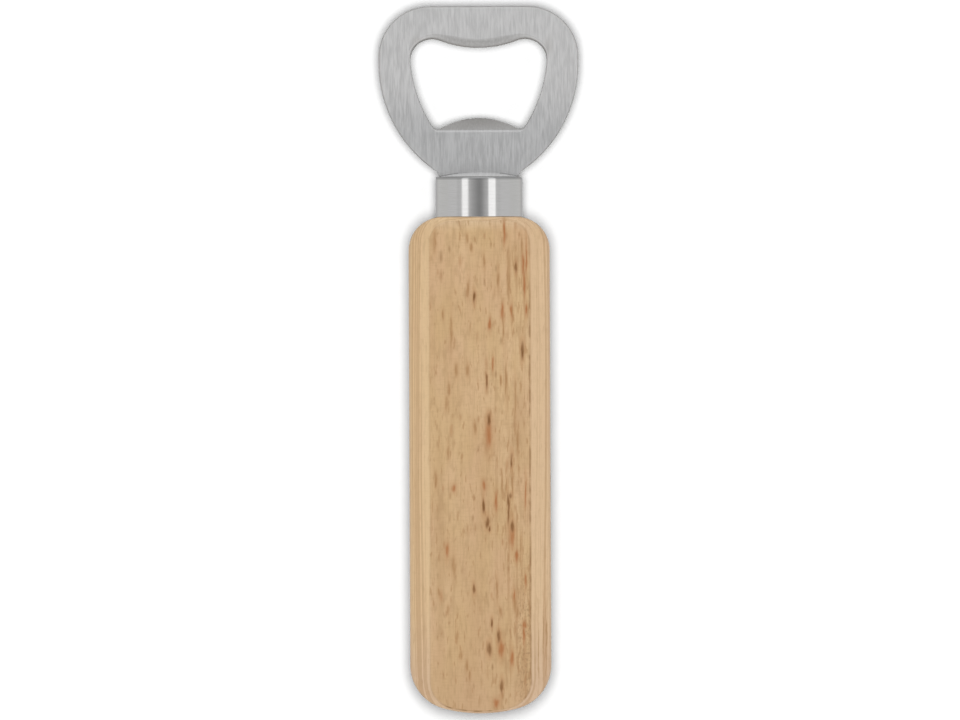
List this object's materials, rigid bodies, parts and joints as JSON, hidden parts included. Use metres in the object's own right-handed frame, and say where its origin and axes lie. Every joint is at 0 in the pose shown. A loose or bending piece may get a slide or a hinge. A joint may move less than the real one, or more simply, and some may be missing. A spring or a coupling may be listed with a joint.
{
  "type": "bottle opener",
  "caption": "Bottle opener with a brushed steel head, a cap opening with tongue and lifting lip, a polished collar and a pale wooden handle with wide chamfers.",
  "frame": {"origin": "on the surface that the back of the handle lies on, under the middle of the overall length and width", "axes": "+Y along the handle towards the head, +Z out of the front face, +X to the right seen from the front"},
  "size_m": [0.0424, 0.15, 0.0204],
  "materials": {
    "brushed_plate": "stainless steel, fine brush lines along the handle's axis",
    "polished_collar": "polished stainless steel",
    "handle_wood": "sanded pale hardwood with short brown pores, satin oil",
    "cured_glue": "hardened epoxy, out of sight"
  },
  "bodies": {
    "root": {"opener_head": "brushed_plate", "collar": "polished_collar", "handle": "handle_wood", "tang_adhesive": "cured_glue"}
  },
  "joints": []
}
